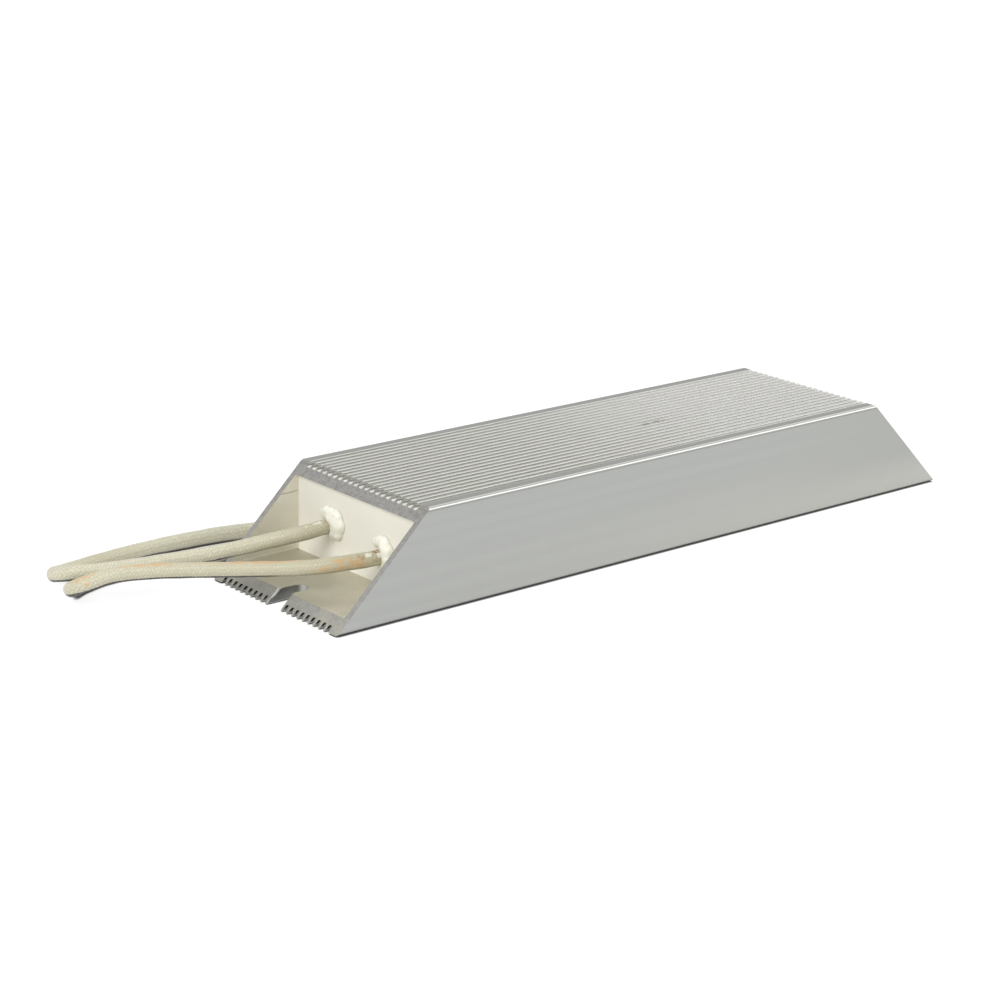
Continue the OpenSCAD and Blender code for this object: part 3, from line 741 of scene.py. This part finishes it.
def braid():
    p = Paint("glass_braid")
    x = p.split(p.where())[0]
    weave_colour, facing_down = p.n("VertexColor", layer_name="weave").outputs
    marks_colour, soil = p.n("VertexColor", layer_name="marks").outputs
    h, tint, over = p.n("SeparateColor", weave_colour).outputs[:3]
    orange, brown, paste = p.n("SeparateColor", marks_colour).outputs[:3]
    base, fibre = yarns(p, h, tint, over)
    orange = p.times(orange, p.ramp(p.noise(380, 3, 0.6, offset=(4, 1, 2)), 0.32, 0.56))
    brown = p.times(brown, p.ramp(p.noise(1100, 2, 0.6, offset=(1, 1, 5)), 0.46, 0.58))
    base = p.mix(p.times(soil, 0.55), base, srgb(172, 165, 132))
    base = p.mix(p.times(orange, 0.72), base, srgb(212, 164, 104))
    base = p.mix(p.times(brown, 0.85), base, srgb(132, 92, 46))
    # painted shade on the undersides of the leads, darkest outside the housing
    under = p.times(p.ramp(facing_down, 0.75, 0.82), p.ramp(x, -0.119, -0.126, 0.25, 0.97))
    base = p.mix(under, base, srgb(34, 33, 31))
    paste = p.plus(paste, p.times(p.noise(1300, 3, 0.6, offset=(6, 2, 2)), 0.9))
    base = p.mix(p.times(p.ramp(paste, 0.75, 1.15), 0.85), base, srgb(236, 235, 222))
    relief = p.plus(p.times(h, 0.9), p.times(fibre, 0.12))
    return p.set(Base_Color=base, Roughness=0.45, Sheen_Weight=0.08, Sheen_Roughness=0.5,
                 Normal=p.bump(relief, 0.4, 0.0002))


def simple(name, dark, light, metal, rough, scale, stretch=(1, 1, 1), relief=0.00005, strength=0.4):
    """Two mottled tones with grain, for pieces that are mostly out of sight."""
    p = Paint(name)
    mottle = p.noise(scale, 3, 0.6, stretch)
    grain = p.noise(scale * 5, 2, 0.6, stretch, offset=(3, 3, 3))
    base = p.mix(p.ramp(mottle, 0.3, 0.7), srgb(*dark), srgb(*light))
    r = p.ramp(grain, 0.3, 0.7, rough * 0.85, rough * 1.15)
    return p.set(Base_Color=base, Metallic=metal, Roughness=r,
                 Normal=p.bump(p.plus(mottle, p.times(grain, 0.5)), strength, relief))


MATERIALS = {
    "extruded_aluminium": aluminium(),
    "seal_cement": cement(),
    "bead_cement": bead_paste(),
    "glass_braid": braid(),
    "quartz_sand": simple("quartz_sand", (196, 182, 150), (224, 214, 190), 0.0, 0.85, 1800,
                          relief=0.0003, strength=0.9),
    "mica": simple("mica", (150, 124, 84), (188, 166, 122), 0.0, 0.35, 240, relief=0.00004),
    "core_ceramic": simple("core_ceramic", (222, 214, 200), (236, 230, 218), 0.0, 0.6, 700),
    "resistance_wire": simple("resistance_wire", (112, 108, 104), (146, 140, 132), 1.0, 0.38, 500),
    "cap_metal": simple("cap_metal", (176, 176, 172), (198, 198, 194), 1.0, 0.32, 400, (1, 4, 4)),
    "conductor_metal": simple("conductor_metal", (184, 182, 176), (206, 204, 198), 1.0, 0.3, 500,
                              (0.2, 4, 4)),
    "lug_metal": simple("lug_metal", (190, 192, 194), (214, 215, 216), 1.0, 0.3, 350, (0.6, 3, 3)),
}
for ob in NODES.values():
    if ob.type != "MESH":
        continue
    for s in ob.material_slots:
        key = (s.material.name if s.material else "").split(".")[0]
        s.material = MATERIALS.get(key, s.material)
for ob in (lead_back, lead_front):
    ob.data.materials.append(MATERIALS["glass_braid"])
for ob in (bead_back, bead_front):
    ob.data.materials.append(MATERIALS["bead_cement"])

# ---------------------------------------------------------------- stage
FLOOR_REACH = 9.0
FLOOR_Z = -0.0004
FLOOR_SEEN = 0.86           # light that the camera gets from the paper itself
FLOOR_REFLECTED = 0.34      # and that shiny things get from it
PAPER_TONE = 0.86           # tone of the paper in the light of the lamps
PAPER_TONE_SEEN = 0.25      # and its tone to the camera, which sees the shadow in it
CONTACT_REACH = 0.0011      # how near a thing has to be to darken the paper under it

corners = [(x * FLOOR_REACH, y * FLOOR_REACH, FLOOR_Z) for x, y in ((-1, -1), (1, -1), (1, 1), (-1, 1))]
floor = new_mesh("floor", corners, [(0, 1, 2, 3)], smooth=False)
paper = bpy.data.materials.new("paper")
paper.use_nodes = True
p = Nodes(paper.node_tree)
ray = p.n("LightPath").outputs
# white to the camera with a fine dark line where something rests on it; light paper to all else
contact = p.n("AmbientOcclusion")
contact.inputs["Distance"].default_value = CONTACT_REACH
line = p.n("MapRange", contact.outputs["AO"], 0.42, 0.80).outputs[0]
seen = p.times(ray["Is Camera Ray"], line, FLOOR_SEEN)
reflected = p.times(p.plus(ray["Is Glossy Ray"], ray["Is Transmission Ray"]), FLOOR_REFLECTED)
tone = p.math("MULTIPLY_ADD", ray["Is Camera Ray"], PAPER_TONE_SEEN - PAPER_TONE, PAPER_TONE)
glow = p.n("Emission", (1, 1, 1, 1), p.plus(seen, reflected))
both = p.n("AddShader", p.n("BsdfDiffuse", tone).outputs[0], glow.outputs[0])
p.n("OutputMaterial", both.outputs[0])
floor.data.materials.append(paper)

world = bpy.data.worlds.new("studio")
bpy.context.scene.world = world
world.use_nodes = True
p = Nodes(world.node_tree)
ray = p.n("LightPath").outputs
# soft light on everything, and plain white for the camera and in reflections
ambient = p.n("Background", (0.97, 0.985, 1.0, 1), 0.68)
white = p.n("Background", (1, 1, 1, 1), 1.0)
bright = p.math("ADD", ray["Is Camera Ray"], ray["Is Glossy Ray"], clamp=True)
bright = p.math("ADD", bright, ray["Is Transmission Ray"], clamp=True)
p.n("OutputWorld", p.n("MixShader", bright, ambient.outputs[0], white.outputs[0]).outputs[0])


def lamp(name, place, aim, size, watts, colour=(1, 1, 1)):
    light = bpy.data.lights.new(name, "AREA")
    light.shape = "RECTANGLE"
    light.size, light.size_y = size
    light.energy = watts
    light.color = colour
    ob = bpy.data.objects.new(name, light)
    bpy.context.scene.collection.objects.link(ob)
    ob.location = place
    ob.rotation_mode = "QUATERNION"
    ob.rotation_quaternion = (Vector(aim) - Vector(place)).to_track_quat("-Z", "Y")


lamp("key", (-1.15, -0.25, 0.95), (-0.05, 0, 0.02), (0.9, 0.8), 10.0, (1.0, 0.99, 0.975))
lamp("edge", (1.0, -0.95, 0.90), (0, 0, 0.02), (1.4, 1.0), 13.0)

bpy.context.scene.view_settings.view_transform = "Standard"
